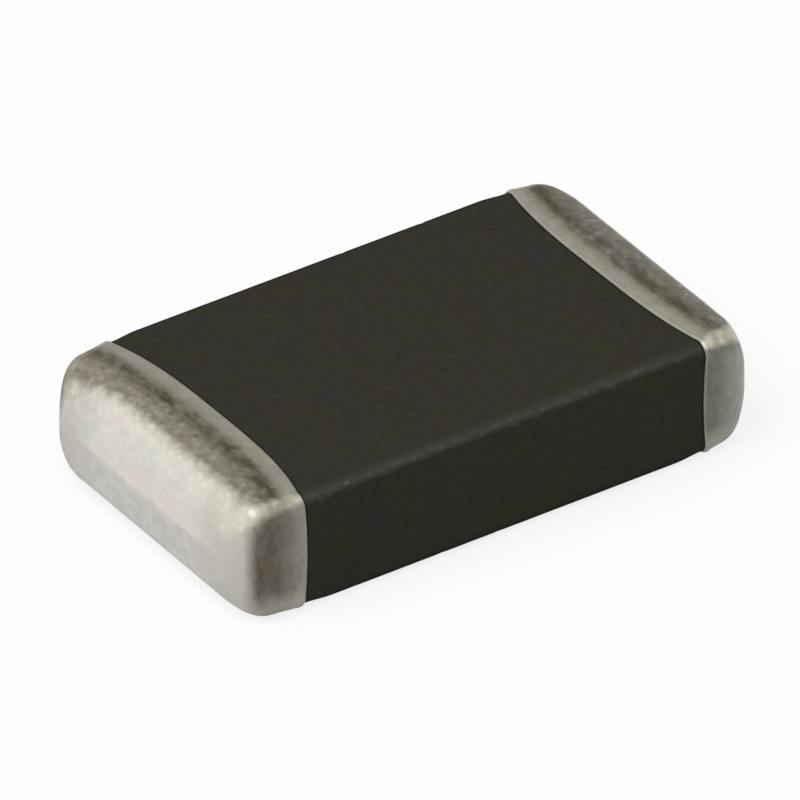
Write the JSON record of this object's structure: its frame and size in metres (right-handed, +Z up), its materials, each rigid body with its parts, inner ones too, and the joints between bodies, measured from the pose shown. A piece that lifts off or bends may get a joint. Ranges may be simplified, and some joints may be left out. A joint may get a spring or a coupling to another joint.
{
  "type": "multilayer chip inductor",
  "caption": "Low-profile multilayer ferrite chip inductor with a tin-finished solder cap wrapped round each end.",
  "frame": {"origin": "middle of the seating plane, under the centre of the chip", "axes": "+X along the length from the left cap to the right cap, +Y across the width, +Z up out of the board"},
  "size_m": [0.002, 0.0012, 0.0005],
  "materials": {
    "ferrite": "matte sintered ferrite, near black with an olive cast",
    "silver": "fired silver",
    "nickel": "matte electroplated nickel",
    "tin": "matte electroplated tin, mottled"
  },
  "bodies": {
    "root": {"ferrite_body": "ferrite", "coil_winding": "silver", "left_silver_base": "silver", "left_nickel_barrier": "nickel", "left_tin_finish": "tin", "right_silver_base": "silver", "right_nickel_barrier": "nickel", "right_tin_finish": "tin"}
  },
  "joints": []
}
